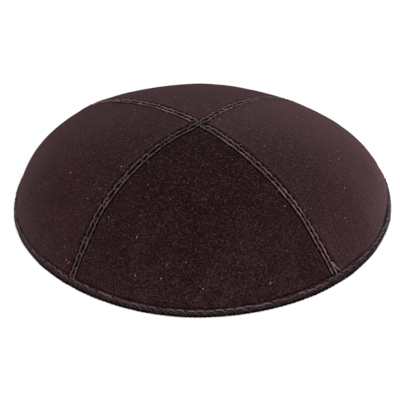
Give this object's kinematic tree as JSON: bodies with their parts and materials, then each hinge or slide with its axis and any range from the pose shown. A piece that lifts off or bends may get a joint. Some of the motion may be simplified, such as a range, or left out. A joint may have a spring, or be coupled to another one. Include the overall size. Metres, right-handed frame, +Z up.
{
  "type": "kippah skullcap",
  "caption": "Round low-domed suede skullcap: gores joined by topstitched seams that meet at the crown, with a narrow stitched binding folded over the rim. Hollow, open below for the head.",
  "frame": {"origin": "middle of the rim, on the plane that the cap rests on", "axes": "+Z up through the crown, -Y towards the front gore, +X towards the right gore as seen from the front"},
  "size_m": [0.1688, 0.1701, 0.0405],
  "materials": {
    "suede": "matt napped suede, very dark brown",
    "binding": "matt suede strip, very dark brown, slightly flattened by wear",
    "thread": "twisted polyester sewing thread, dusty mauve-brown"
  },
  "bodies": {
    "root": {"panel_front": "suede", "panel_right": "suede", "panel_back": "suede", "panel_left": "suede", "rim_binding": "binding"}
  },
  "joints": []
}
